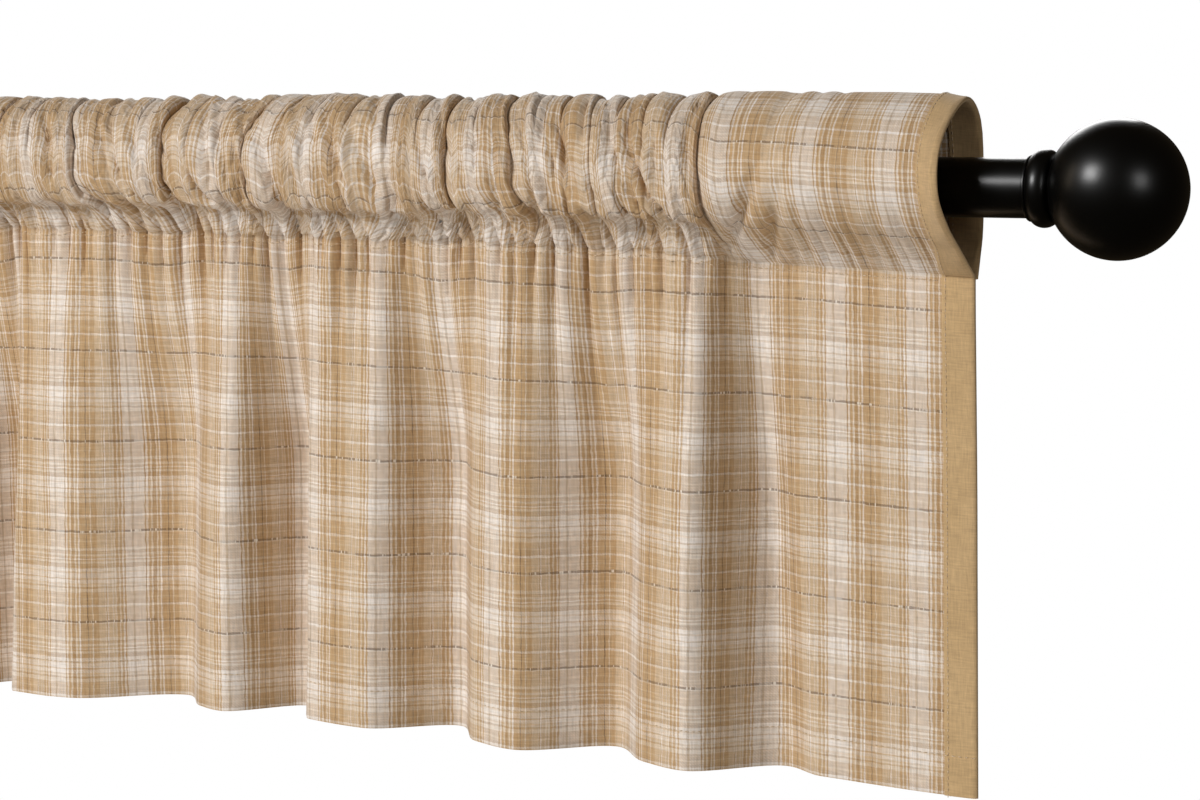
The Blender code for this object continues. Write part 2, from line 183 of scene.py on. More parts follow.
right, left = SEAT_TO_ROD_END, LEFT_SEAT_X - SEAT_TO_ROD_END
inner = ROD_RADIUS - ROD_WALL
rod_profile = [(left, inner), (left, ROD_RADIUS - ROD_CHAMFER), (left + ROD_CHAMFER, ROD_RADIUS)]
rod_profile += [(left + (right - left) * k / 24, ROD_RADIUS) for k in range(1, 24)]
rod_profile += [(right - ROD_CHAMFER, ROD_RADIUS), (right, ROD_RADIUS - ROD_CHAMFER), (right, inner)]
TURNED_SIDES = 96
finish_piece("curtain_rod", turned("curtain_rod", rod_profile, TURNED_SIDES), "rod_tube")

# ---- Finials ----
# Each is a turned collar, with a ring and a bead, that plugs into the tube, and a hollow ball that
# screws onto it.  Both are cast, turned smooth and painted with the rod.
COLLAR_START = 11.7
COLLAR_END = 23.6
BALL_X = 49.5
BALL_RADIUS = 29.7


def quarter(cx, cr, radius, start, end, steps):
    """Points (x, r) on an arc, with its angles in degrees from +X."""
    turns = [math.radians(start + (end - start) * k / steps) for k in range(steps + 1)]
    return [(cx + radius * math.cos(a), cr + radius * math.sin(a)) for a in turns]


# the blind hole for the stud, the bead, the ring beside the tube and the spigot inside it
collar = [(14.0, 0.0), (14.0, 4.3), (COLLAR_END, 4.3), (COLLAR_END, 12.7), (23.3, 13.0)]
collar += [(18.0 + 4.9 * math.cos(math.pi * k / 24), 13.1 + 3.5 * math.sin(math.pi * k / 24))
           for k in range(25)]
collar += quarter(12.6, 13.7, 0.4, 0, 90, 5) + quarter(12.1, 13.7, 0.4, 90, 180, 5)
collar += [(COLLAR_START, 11.4), (-5.9, 11.4), (-6.3, 11.0), (-6.3, 0.0)]
ball_face_x = COLLAR_END + 0.3
face = math.degrees(math.acos((ball_face_x - BALL_X) / BALL_RADIUS))
ball = [(14.9, 0.0), (14.9, 3.7), (15.2, 4.0), (ball_face_x, 4.0)]
ball += quarter(BALL_X, 0.0, BALL_RADIUS, face, 0.0, 48)[:-1] + [(BALL_X + BALL_RADIUS, 0.0)]
for side, mirrored in (("right", False), ("left", True)):
    finish_piece(f"collar_{side}", turned(f"collar_{side}", collar, TURNED_SIDES, mirrored),
                 f"finial_collar_{side}")
    finish_piece(f"ball_{side}", turned(f"ball_{side}", ball, TURNED_SIDES, mirrored),
                 f"finial_ball_{side}")

# ---- Plaid cloth panel ----
# One length of yarn-dyed homespun cotton.  Its top is folded back and sewn down as a rod pocket, its
# foot is hemmed, and it is gathered on the rod: flat at both ends, in sharp puffs between them.
VALANCE_WIDTH = 762.0
RIGHT_EDGE_X = -16.8
CENTRE_X = LEFT_SEAT_X / 2
BINDING_WIDTH = 14.5
CLOTH = 0.7

# The pocket's loop: (y, z) drawn up in gathers, lying flat and at the flared mouth; the level that
# says where a row takes its x from (0 stitch line, 1 cinch, 2 front, 3 top); the sink of a crease.
SECTION = np.array((
    # gathered      flat          mouth          level  sink
    (-7.0, -29.0, 12.5, -37.5, 12.5, -38.5, 0.0, 0.00),
    (-14.2, -17.2, -5.0, -24.6, -8.0, -26.0, 1.0, 0.30),
    (-22.6, -12.6, -17.3, -14.9, -24.0, -16.0, 1.6, 0.80),
    (-27.5, -1.5, -26.0, -1.0, -37.8, -2.5, 2.0, 0.85),
    (-28.0, 16.0, -26.2, 14.5, -37.8, 14.5, 2.0, 0.90),
    (-17.5, 30.0, -16.5, 30.0, -23.0, 28.2, 2.5, 1.00),
    (2.0, 37.0, 3.0, 39.5, 1.5, 37.3, 3.0, 0.80),
    (18.0, 29.0, 18.0, 29.5, 17.5, 28.0, 2.8, 0.80),
    (24.0, 8.0, 22.0, 6.0, 21.9, 6.0, 2.3, 0.80),
    (20.5, -11.0, 22.0, -17.0, 21.8, -18.0, 1.6, 0.45),
    (6.0, -20.0, 19.0, -30.0, 18.6, -30.0, 1.0, 0.00),
    (-1.5, -31.5, 16.0, -39.0, 15.6, -39.5, 0.0, 0.00),
))
TOP_ROW = 6

HEIGHTS = np.array((
    # x      stitch  top    hem
    (-778.8, -38.5, 37.3, -264.4),
    (-764.1, -38.0, 39.3, -264.0),
    (-683.6, -34.8, 40.0, -259.4),
    (-653.6, -33.0, 39.2, -257.2),
    (-588.0, -29.8, 38.0, -253.0),
    (-524.0, -27.6, 37.0, -250.4),
    (-458.0, -27.0, 36.6, -249.6),
    (-380.0, -28.4, 37.6, -249.7),
    (-303.0, -29.6, 38.4, -251.8),
    (-228.0, -29.8, 38.4, -255.6),
    (-165.0, -32.0, 39.0, -257.4),
    (-112.0, -34.8, 40.0, -259.4),
    (-31.5, -38.0, 39.3, -264.0),
    (-16.8, -38.5, 37.3, -264.4),
))

# Creases of the gathers: x at four heights and depth.  Those right of -292 are mirrored at the left.
GATHERS = (
    # top   front   cinch  stitch  depth
    (-494.0, -490.0, -489.0, -491.0, 4.5),
    (-477.0, -470.0, -467.0, -466.0, 4.5),
    (-457.0, -447.0, -439.0, -434.0, 9.5),
    (-436.0, -427.0, -422.0, -417.0, 4.0),
    (-417.0, -412.0, -407.0, -405.0, 3.5),
    (-400.0, -399.0, -393.0, -394.0, 8.5),
    (-386.0, -384.0, -380.0, -382.0, 4.0),
    (-369.0, -369.0, -366.0, -370.0, 5.5),
    (-350.0, -355.0, -354.0, -358.0, 10.0),
    (-334.0, -338.0, -338.0, -345.0, 3.0),
    (-322.0, -322.0, -322.0, -331.0, 5.0),
    (-305.0, -303.0, -306.0, -310.0, 5.5),
    (-288.0, -281.0, -285.0, -296.0, 7.5),
    (-271.0, -266.0, -267.0, -275.0, 4.0),
    (-256.0, -251.0, -248.0, -254.0, 9.5),
    (-243.0, -236.0, -231.0, -234.0, 4.0),
    (-229.0, -218.0, -212.0, -217.0, 9.5),
    (-214.0, -206.0, -203.0, -205.0, 3.5),
    (-201.0, -194.0, -194.0, -195.0, 6.5),
    (-187.0, -179.0, -181.0, -183.0, 5.5),
    (-174.0, -167.0, -163.0, -169.0, 5.0),
    (-160.0, -155.0, -153.0, -157.0, 5.5),
    (-146.0, -144.0, -141.0, -143.0, 4.5),
    (-131.0, -129.0, -128.0, -125.0, 11.5),
    (-116.0, -114.0, -113.0, -110.0, 2.0),
    (-98.0, -98.0, -97.0, -96.0, 1.0),
)

# Flutes of the skirt: x and y at the hem of each crest, its steep edge and the valley beyond, and
# how far they lean to the left from the stitch line to the hem.
FLUTES = (
    # crest   y      edge    y     valley  y    lean
    (-142.0, -13.0, -164.0, -5.0, -188.0, 19.0, 2.0),
    (-226.0, -12.5, -248.0, -6.0, -268.0, 19.0, 1.0),
    (-303.0, -13.0, -333.0, -8.0, -349.0, 19.0, 2.0),
    (-378.0, -13.0, -394.0, -5.0, -415.0, 18.0, 6.0),
    (-463.0, -13.0, -498.0, -8.0, -513.0, 18.0, 9.0),
    (-536.0, -12.0, -552.0, -5.0, -570.0, 17.0, 4.0),
    (-596.0, -13.0, -617.0, -5.0, -636.0, 17.0, 1.0),
    (-657.0, -13.0, -671.0, -1.0, -688.0, 24.0, -4.0),
)
LAST_VALLEY = (-107.0, 24.0, -13.0)
FLAT_START_X, FLAT_LEAN, FLAT_Y = -88.0, -15.0, 14.0
# how far from the middle the gathers end and the flat ends begin, and where the mouth starts to flare
GATHERS_END, FLAT_BEGINS = 260.0, 284.0
FLARE_START = -6.0
GATHERED_Y = 1.0
FLUTE_AT_STITCH = 0.22
SKIRT_DROP = 225.0


def ramp(value, low, high):
    """0 up to low, 1 from high on, and a smooth rise between them."""
    share = np.clip((value - low) / (high - low), 0.0, 1.0)
    return share * share * (3 - 2 * share)


def mix(first, second, share):
    return first + (second - first) * share


def through(knot_x, knot_y, x):
    """A smooth curve through knots in rising order of x, with no overshoot, held at its ends."""
    knot_x, knot_y = np.asarray(knot_x, float), np.asarray(knot_y, float)
    span = np.diff(knot_x)
    rise = np.diff(knot_y) / span
    slope = np.zeros(len(knot_x))
    same = rise[:-1] * rise[1:] > 0
    both = np.where(same, rise[:-1] + rise[1:], 1.0)
    slope[1:-1] = np.where(same, 2 * rise[:-1] * rise[1:] / both, 0.0)
    x = np.clip(x, knot_x[0], knot_x[-1])
    i = np.clip(np.searchsorted(knot_x, x, "right") - 1, 0, len(span) - 1)
    share = (x - knot_x[i]) / span[i]
    ease = share * share * (3 - 2 * share)
    swing = share * (1 - share) * span[i] * ((1 - share) * slope[i] - share * slope[i + 1])
    return mix(knot_y[i], knot_y[i + 1], ease) + swing


def flatness(x):
    return ramp(np.abs(x - CENTRE_X), GATHERS_END, FLAT_BEGINS)


def flare(x):
    edge = VALANCE_WIDTH / 2 - np.abs(x - CENTRE_X)
    full = 1.0 - ramp(0.0, FLARE_START, BINDING_WIDTH)
    return (1.0 - ramp(edge, FLARE_START, BINDING_WIDTH)) / full


def flute_y(x, height):
    """The skirt's y at a height between the hem (0) and the stitch line (1)."""
    valley_x, valley_y, lean = LAST_VALLEY
    start = FLAT_START_X + FLAT_LEAN * height
    knots = [(start, FLAT_Y), (valley_x + lean * height, valley_y)]
    for crest_x, crest_y, edge_x, edge_y, hollow_x, hollow_y, lean in FLUTES:
        shift = lean * height
        knots += [(crest_x + shift, crest_y), (edge_x + shift, edge_y), (hollow_x + shift, hollow_y)]
    knots.append((LEFT_SEAT_X - start, FLAT_Y))
    knots = np.array(knots[::-1])
    return through(knots[:, 0], knots[:, 1], x)


def spline_row(values, row):
    """Catmull-Rom through a list of equal arrays, at a row number that may lie between two."""
    i = min(int(row), len(values) - 2)
    t = row - i
    a, b = values[max(i - 1, 0)], values[i]
    c, d = values[i + 1], values[min(i + 2, len(values) - 1)]
    return 0.5 * (2 * b + (c - a) * t + (2 * a - 5 * b + 4 * c - d) * t ** 2
                  + (3 * b - a - 3 * c + d) * t ** 3)


def loop_yz(x, row):
    """The ungathered pocket's (y, z) at x, at any row."""
    blend, mouth = flatness(x), flare(x)
    ys = [mix(mix(s[0], s[2], blend), s[4], mouth) for s in SECTION]
    zs = [mix(mix(s[1], s[3], blend), s[5], mouth) for s in SECTION]
    stitch_z = through(HEIGHTS[:, 0], HEIGHTS[:, 1], x)
    top_z = through(HEIGHTS[:, 0], HEIGHTS[:, 2], x)
    low, high = zs[0], zs[TOP_ROW]
    zs = [mix(stitch_z, top_z, (z - low) / (high - low)) for z in zs]
    return spline_row(ys, row), spline_row(zs, row)


def table_row(column, row):
    return float(np.interp(row, range(len(SECTION)), SECTION[:, column]))


def stitch_shift(x):
    return (flute_y(x, 1.0) - GATHERED_Y) * FLUTE_AT_STITCH * (1.0 - flatness(x))


class Columns:
    """The cloth's warp lines: their x at the four levels, and how deep the creases are on them."""

    def __init__(self, places, creases):
        self.places = np.asarray(places, float)      # columns by (top, front, cinch, stitch)
        self.creases = np.asarray(creases, float)    # columns by depth (low, middle, high) of a crease

    def x_at(self, row):
        levels = [self.places[:, 3], self.places[:, 2], self.places[:, 1], self.places[:, 0]]
        return spline_row(levels, table_row(6, row))

    def crease_at(self, row):
        """How deep the gathers are on each warp line at a row: each is deepest somewhere else."""
        high = float(ramp(row, 3.2, 5.2))
        low = 1.0 - float(ramp(row, 1.2, 3.2))
        return self.creases[:, 0] * low + self.creases[:, 2] * high + self.creases[:, 1] * (1 - low - high)


def plain_columns(xs):
    xs = np.asarray(xs, float)
    return Columns(np.repeat(xs[:, None], 4, axis=1), np.zeros((len(xs), 3)))


def gathered_columns(pitch):
    """Warp lines across the gathers, closer together beside the creases."""
    vary = np.random.default_rng(7)
    table = []
    for g in GATHERS:
        if g[4] < 8.0:
            weights = vary.uniform((0.45, 0.05, 0.25), (0.85, 0.35, 0.70))
        else:
            weights = vary.uniform((0.80, 0.55, 0.35), (1.0, 0.85, 0.65))
        depths = [g[4] * w for w in weights]
        table.append(list(g[:4]) + depths)
        if g[1] > -292.0:
            table.append([LEFT_SEAT_X - v for v in g[:4]] + depths)
    table.sort(key=lambda g: g[1])
    places, creases = [], []
    for here, after in zip(table, table[1:]):
        local = pitch if here[1] > -530.0 else 3.0 * pitch
        count = max(8, 2 * round((after[1] - here[1]) / local / 2))
        steep, gentle = vary.uniform(0.14, 0.26), vary.uniform(0.32, 0.55)
        crown = vary.uniform(0.0, 0.03)
        for k in range(count):
            share = k / count
            share -= 0.08 * math.sin(2 * math.pi * share)
            wide = after[1] - here[1]
            near = 0.05 * max(1 - share / steep, 0.0) ** 1.3 + 0.95 * math.exp(-share * wide / 1.8)
            far = 0.05 * max(1 - (1 - share) / gentle, 0.0) ** 1.5
            far += 0.95 * math.exp(-(1 - share) * wide / 1.2)
            rise = crown * math.sin(math.pi * share ** 0.8)
            places.append([mix(here[j], after[j], share) for j in range(4)])
            creases.append([here[j] * (near - rise) + after[j] * (far - rise) for j in (4, 5, 6)])
    places.append(table[-1][:4])
    creases.append(table[-1][4:])
    return Columns(places, creases)


seed = np.random.default_rng(41)
WRINKLES = []
for gather in GATHERS:
    for x in (gather[1], LEFT_SEAT_X - gather[1])[: 2 if gather[1] > -292.0 else 1]:
        for _ in range(9):
            # x at the front, slant, middle row, half length in rows, depth, half width
            WRINKLES.append((x + seed.uniform(-11, 11), seed.uniform(-9.0, 1.0),
                             seed.choice([2.1, 2.7, 3.4, 4.2, 5.4]) + seed.uniform(-0.4, 0.4),
                             seed.uniform(1.1, 2.4), seed.uniform(1.2, 3.2) * seed.choice([1, 1, -0.6]),
                             seed.uniform(1.2, 2.3)))
# The small folds the stitch line holds: x where sewn, depth, half width, how far each runs down the
# skirt, how many rows up the pocket, and how far it leans there.
FOLDS = []
place = -119.0
while place > LEFT_SEAT_X + 119.0:
    FOLDS.append((place, seed.uniform(4.5, 9.0), seed.uniform(1.4, 2.5), seed.uniform(18.0, 85.0),
                  seed.uniform(1.3, 3.2), seed.uniform(-4.0, 0.5)))
    place -= seed.uniform(5.2, 9.5)
for flute in FLUTES:
    FOLDS.append((flute[2] + flute[6] - 4.0, 5.2, 3.4, 80.0, 2.0, 0.0))


# Soft creases of the flat ends, mirrored at the left: x, slant, middle row, half length in rows,
# depth and half width.
EASED = (
    (-115.0, 9.0, 1.6, 1.7, 3.4, 2.4),
    (-109.0, 8.0, 2.6, 1.5, 2.2, 2.6),
    (-104.0, 6.0, 1.0, 1.4, 2.6, 2.2),
    (-97.0, 5.0, 1.9, 1.6, 1.6, 2.8),
    (-95.0, 2.0, 0.7, 1.2, 1.8, 2.0),
    (-88.5, 1.5, 0.9, 1.7, 1.6, 2.2),
    (-82.0, 1.0, 0.6, 1.5, 1.3, 1.9),
    (-76.0, 0.5, 1.2, 2.0, 1.2, 2.4),
    (-70.5, 0.0, 0.5, 1.3, 1.3, 1.8),
    (-64.0, -0.5, 1.0, 1.9, 1.1, 2.3),
    (-57.0, -0.5, 0.5, 1.4, 1.1, 2.0),
    (-50.0, -1.0, 0.9, 1.7, 1.2, 2.2),
    (-44.0, -1.0, 0.5, 1.3, 0.9, 1.8),
    (-38.5, -1.5, 1.1, 1.9, 1.1, 2.2),
    (-33.0, -1.0, 0.6, 1.4, 1.0, 1.8),
    (-94.0, 3.0, 5.6, 1.2, 1.1, 2.6),
    (-83.0, 2.0, 5.9, 1.0, 0.9, 2.4),
    (-73.0, 2.0, 5.8, 1.3, 0.8, 2.4),
)


def eased_depth(x, row):
    total = np.zeros(len(x))
    near = CENTRE_X + np.abs(x - CENTRE_X)
    for at, slant, middle, half, depth, width in EASED:
        reach = 1.0 - ((row - middle) / half) ** 2
        if reach > 0:
            total += depth * reach * np.exp(-((near - at - slant * (row - middle)) / width) ** 2)
    return total


def wrinkle_depth(x, row):
    total = np.zeros(len(x))
    for at, slant, middle, half, depth, width in WRINKLES:
        reach = 1.0 - ((row - middle) / half) ** 2
        if reach > 0:
            total += depth * reach * np.exp(-(np.abs(x - at - slant * (row - middle)) / width) ** 1.3)
    return total * (1.0 - flatness(x))


def fold_depth(x, below=0.0, row=0.0):
    """The small folds' depth some millimetres below the stitch line or some rows above it."""
    total = np.zeros(len(x))
    for at, depth, width, run, reach, fan in FOLDS:
        size = depth * math.exp(-below / run) * max(1.0 - (row / reach) ** 2, 0.0)
        spread = width * (1.0 + below / 35.0 + row * 0.10)
        sharp = 1.0 + min(below / 25.0, 0.6)
        total += size * np.exp(-(np.abs(x - at - fan * row ** 1.3) / spread) ** sharp)
    return total * (1.0 - flatness(x))


def ripple(x, along, size=1.0):
    """A slow unevenness of hand-hung cloth, in millimetres."""
    return size * (0.34 * np.sin(x / 6.1 + along / 17.0 + 1.3) + 0.30 * np.sin(x / 9.7 - along / 23.0)
                   + 0.26 * np.sin(x / 4.3 + along / 9.0 + 2.1) + 0.5 * np.sin(x / 21.0 + along / 31.0))


def pleat(columns):
    """How far back the gathers push both layers of cloth where they are sewn together."""
    return columns.crease_at(0.0) * 0.14


def pocket_line(columns, row):
    """Points (x, y, z) of one weft line of the pocket, with its creases and without them."""
    x = columns.x_at(row)
    y, z = loop_yz(x, row)
    before, after = loop_yz(x, max(row - 0.06, 0.0)), loop_yz(x, min(row + 0.06, 11.0))
    along = np.stack([after[0] - before[0], after[1] - before[1]])
    along /= np.linalg.norm(along, axis=0)
    out_y, out_z = -along[1], along[0]
    sink = table_row(7, row)
    crease = columns.crease_at(row)
    depth = crease * sink
    if row < 9.0:
        loose = ramp(row, 1.1, 2.1) * (1 - ramp(row, 8.0, 9.0)) * (1 - flatness(x) * 0.75)
        depth = depth + (wrinkle_depth(x, row) + 0.55 * ripple(x, row * 13.0)) * loose
        depth = depth + eased_depth(x, row) * ramp(row, 0.0, 0.5)
        depth = depth + fold_depth(x, row=row) + 0.9 * max(1 - row / 0.16, 0.0) * (1 - 0.6 * flatness(x))
    base_y, base_z = y.copy(), z.copy()
    y, z = y - out_y * depth, z - out_z * depth
    nearness = max(0.0, 1.0 - min(row, 11.0 - row) / 2.0)
    push = (stitch_shift(x) + pleat(columns) * (1 - sink)) * nearness
    if row > 9.0:
        push = push + (fold_depth(x) + 0.4 * (1 - flatness(x))) * ramp(row, 9.0, 10.2)
    lean = 0.45 * crease * sink
    return np.stack([x - lean, y + push, z], axis=1), np.stack([x, base_y, base_z], axis=1)


def skirt_line(columns, height):
    """The same for one weft line of the skirt, between the hem (0) and the stitch line (1)."""
    sewn, sewn_base = pocket_line(columns, 0.0)
    x = columns.x_at(0.0)
    hem_z = through(HEIGHTS[:, 0], HEIGHTS[:, 3], x)
    swing = ramp(height, 0.5, 1.0)
    z = mix(hem_z, sewn[:, 2], height)
    below = (1.0 - height) * SKIRT_DROP
    free = flute_y(x, height)
    calm = sewn_base[:, 1] + stitch_shift(x)
    tail = pleat(columns) * math.exp(-below / 16.0)
    tail = tail + fold_depth(x, below=below) + (0.9 - 0.54 * flatness(x)) * math.exp(-(below / 1.5) ** 2)
    loose = ripple(x, below, 0.55) * (1 - 0.8 * flatness(x)) * ramp(below, 0.0, 25.0)
    y = mix(free, calm, swing) + tail + loose
    side = np.sign(x - CENTRE_X) * ramp(np.abs(x - CENTRE_X), 240.0, 350.0)
    x = x + side * 3.0 * (1.0 - height)
    return np.stack([x, y, z], axis=1), np.stack([x, mix(free, calm, swing), z], axis=1)


HEM_STITCH = 0.078
SKIRT_HEIGHTS = [0.0, 0.0035, 0.03, 0.07, HEM_STITCH, 0.10]
SKIRT_HEIGHTS += list(np.linspace(0.14, 0.86, 19)) + list(np.linspace(0.885, 0.988, 10))
POCKET_ROWS = list(np.linspace(0.0, 1.0, 7)[:-1]) + list(np.linspace(1.0, 2.0, 9)[:-1])
POCKET_ROWS += list(np.linspace(2.0, 3.0, 8)[:-1]) + list(np.linspace(3.0, 4.0, 9)[:-1])
POCKET_ROWS += list(np.linspace(4.0, 5.0, 9)[:-1]) + list(np.linspace(5.0, 6.0, 10)[:-1])
POCKET_ROWS += list(np.linspace(6.0, 7.0, 7)[:-1]) + list(np.linspace(7.0, 11.0, 15))


def cloth_lines(columns):
    """Every weft line from the hem, up the front, over the top and down to the sewn back edge."""
    lines = [skirt_line(columns, h) for h in SKIRT_HEIGHTS]
    lines += [pocket_line(columns, r) for r in POCKET_ROWS]
    return np.array([l[0] for l in lines]), np.array([l[1] for l in lines])


def sheet_normals(grid):
    """Unit normals of rows by columns of points, out of the pocket and towards the room."""
    across = np.gradient(grid, axis=1)
    along = np.gradient(grid, axis=0)
    normal = np.cross(across, along)
    return normal / np.linalg.norm(normal, axis=2, keepdims=True)


def closed_sheet(name, grid, front, back, uv, material):
    """A closed mesh between the faces that stand `front` and `back` of a grid of points.

    The face behind has every second column, so the grid has an odd number of them."""
    normals = sheet_normals(grid)
    rows, count = grid.shape[:2]
    few = (count + 1) // 2
    ahead = (grid + normals * np.asarray(front)[:, None, None]).reshape(-1, 3)
    behind = (grid - normals * np.asarray(back)[:, None, None])[:, ::2].reshape(-1, 3)
    index = np.arange(rows * count).reshape(rows, count)
    coarse = np.arange(rows * few).reshape(rows, few) + rows * count
    faces = []
    for numbers, flip in ((index, False), (coarse, True)):
        quads = np.stack([numbers[:-1, :-1], numbers[:-1, 1:], numbers[1:, 1:], numbers[1:, :-1]], -1)
        quads = quads.reshape(-1, 4)
        faces += (quads[:, ::-1] if flip else quads).tolist()
    for row, flip in ((0, False), (-1, True)):
        for k in range(few - 1):
            edge = [coarse[row, k], coarse[row, k + 1], index[row, 2 * k + 2], index[row, 2 * k + 1],
                    index[row, 2 * k]]
            faces.append([int(i) for i in (edge[::-1] if flip else edge)])
    for column, flip in ((0, True), (-1, False)):
        for j in range(rows - 1):
            edge = [coarse[j, column], coarse[j + 1, column], index[j + 1, column], index[j, column]]
            faces.append([int(i) for i in (edge[::-1] if flip else edge)])
    mesh = bpy.data.meshes.new(name)
    mesh.from_pydata((np.concatenate([ahead, behind]) * MM).tolist(), [], faces)
    layer = mesh.uv_layers.new(name="cloth")
    flat = np.concatenate([uv.reshape(-1, 2), uv[:, ::2].reshape(-1, 2)]) * MM
    corners = np.empty(len(mesh.loops), dtype=np.int32)
    mesh.loops.foreach_get("vertex_index", corners)
    layer.data.foreach_set("uv", flat[corners].ravel())
    mesh.shade_smooth()
    mesh.set_sharp_from_angle(angle=math.radians(75))
    mesh.materials.append(material)
    return mesh


WARP_PITCH = 1.08
LAST_GATHER_X = -95.0
EDGE_INSIDE_BINDING = 1.3
outer = RIGHT_EDGE_X - EDGE_INSIDE_BINDING
right_end = np.linspace(LAST_GATHER_X, outer, 62)[1:]
left_end = np.linspace(LEFT_SEAT_X - outer, LEFT_SEAT_X - LAST_GATHER_X, 24)[:-1]
gathered = gathered_columns(WARP_PITCH)
ends = [plain_columns(left_end), gathered, plain_columns(right_end)]
columns = Columns(*(np.concatenate([getattr(c, part) for c in ends]) for part in ("places", "creases")))
grid, calm_grid = cloth_lines(columns)

# The cloth's own coordinates: u across from the right-hand seam, v up from the hem, along the cloth.
middle = len(SKIRT_HEIGHTS) // 2
steps = np.linalg.norm(np.diff(calm_grid[middle][:, :2], axis=0), axis=1)
across = np.concatenate([[0.0], np.cumsum(steps)])
across -= np.interp(RIGHT_EDGE_X - BINDING_WIDTH, calm_grid[middle][:, 0], across)
# the gathers take up more cloth in some places than in others: (along the folds, along the cloth)
TAKE_UP = np.array(((-1200.0, -1194.0), (-522.0, -519.0), (-443.0, -441.0), (-335.0, -324.0),
                    (-252.0, -246.0), (-214.0, -207.0), (-130.0, -129.0), (-88.0, -90.0),
                    (-49.0, -51.0), (0.0, 0.0), (15.0, 15.0)))
across = through(TAKE_UP[:, 0], TAKE_UP[:, 1], across)
rises = np.linalg.norm(np.diff(calm_grid[:, :, 1:], axis=0), axis=2)
along = np.concatenate([np.zeros((1, grid.shape[1])), np.cumsum(rises, axis=0)])
cloth_uv = np.stack([np.repeat(across[None, :], grid.shape[0], axis=0), along], axis=2)

HEM_TOP = 0.075
HEM_TURN = 0.75
front = np.full(len(grid), CLOTH / 2)
back = front + 0.15
back[[h < HEM_TOP for h in SKIRT_HEIGHTS] + [False] * len(POCKET_ROWS)] += HEM_TURN
front[0] -= 0.2

# Yarns in millimetres from the start of each repeat: W white, C cream, S sand, T tan, D dark tan,
# G grey brown, B brown.  DOWN runs down the cloth from a slub line, DOWN_START above the hem, and
# ACROSS to the left from a line that lies ACROSS_START from the right-hand seam.
DOWN_REPEAT = 43.4
DOWN_START = 37.0
DOWN = ((0.0, "B"), (0.6, "C"), (1.1, "T"), (4.3, "S"), (4.9, "T"), (7.9, "C"), (9.2, "D"),
        (9.9, "T"), (10.8, "C"), (11.7, "T"), (12.9, "W"), (13.5, "T"), (14.4, "C"), (15.4, "D"),
        (17.6, "W"), (19.3, "S"), (20.1, "W"), (22.4, "T"), (23.2, "W"), (24.9, "S"), (25.7, "C"),
        (26.6, "D"), (27.4, "C"), (29.2, "T"), (32.0, "S"), (32.6, "T"), (34.0, "D"), (35.3, "W"),
        (36.4, "T"), (39.6, "S"), (40.2, "T"), (43.0, "B"))
ACROSS_REPEAT = 39.0
ACROSS_START = 12.0
SLUB_BEFORE, SLUB_AFTER = 0.6, 43.0
ACROSS = ((0.0, "G"), (0.6, "W"), (3.7, "T"), (4.5, "W"), (5.3, "T"), (6.3, "C"), (7.1, "T"),
          (8.3, "C"), (9.1, "S"), (9.9, "C"), (10.5, "S"), (12.3, "W"), (12.8, "T"), (13.3, "C"),
          (13.8, "S"), (16.9, "T"), (17.6, "T"), (19.4, "C"), (19.9, "T"), (21.5, "B"), (22.0, "T"),
          (25.1, "W"), (25.8, "T"), (26.8, "C"), (27.5, "D"), (29.4, "C"), (30.3, "T"), (31.5, "W"),
          (32.5, "D"), (33.1, "W"), (38.5, "G"))
YARN_PITCH = 0.64
YARN = {"W": (0.808, 0.738, 0.678), "C": (0.710, 0.610, 0.500), "S": (0.600, 0.455, 0.310),
        "T": (0.462, 0.292, 0.142), "D": (0.372, 0.222, 0.098), "G": (0.520, 0.435, 0.360),
        "B": (0.180, 0.112, 0.060)}


def chart_ramp(tree, place, chart, repeat):
    """A stepped colour ramp over one repeat of a chart, read at a place in millimetres."""
    share = node(tree, "ShaderNodeMapRange", Value=place, i1=0.0, i2=repeat, i3=0.0, i4=1.0)
    made = node(tree, "ShaderNodeValToRGB", Fac=share.outputs[0])
    steps = made.color_ramp
    steps.interpolation = "CONSTANT"
    steps.elements.remove(steps.elements[-1])
    for k, (at, yarn) in enumerate(chart):
        step = steps.elements[0] if k == 0 else steps.elements.new(at / repeat)
        step.position = at / repeat
        step.color = (*YARN[yarn], 1.0)
    return made.outputs["Color"]


def maths(tree, operation, first, second=0.0, third=0.0):
    made = node(tree, "ShaderNodeMath", {"operation": operation}, i0=first, i1=second, i2=third)
    return made.outputs[0]


def mixed(tree, share, first, second, blend="MIX"):
    made = node(tree, "ShaderNodeMix", {"data_type": "RGBA", "blend_type": blend},
                i0=share, i6=first, i7=second)
    return made.outputs[2]


def noise(tree, u, v, scale_u, scale_v, detail, seed):
    """Noise read in cloth millimetres, stretched along or across the yarns."""
    spot = node(tree, "ShaderNodeCombineXYZ", X=maths(tree, "MULTIPLY", u, scale_u),
                Y=maths(tree, "MULTIPLY", v, scale_v), Z=seed)
    made = node(tree, "ShaderNodeTexNoise", Vector=spot.outputs[0], Scale=1.0, Detail=detail)
    return made.outputs["Fac"]


def smooth(tree, value, start, end):
    """0 at `start`, 1 at `end`, held beyond both."""
    made = node(tree, "ShaderNodeMapRange", {"interpolation_type": "SMOOTHSTEP"}, Value=value,
                i1=start, i2=end, i3=0.0, i4=1.0)
    return made.outputs[0]


def crease_lines(tree, u, v, scale_u, scale_v, seed):
    """Thin soft lines that wander along the cloth, 1 on a line."""
    level = maths(tree, "SUBTRACT", noise(tree, u, v, scale_u, scale_v, 3.0, seed), 0.5)
    return smooth(tree, maths(tree, "ABSOLUTE", level), 0.09, 0.0)


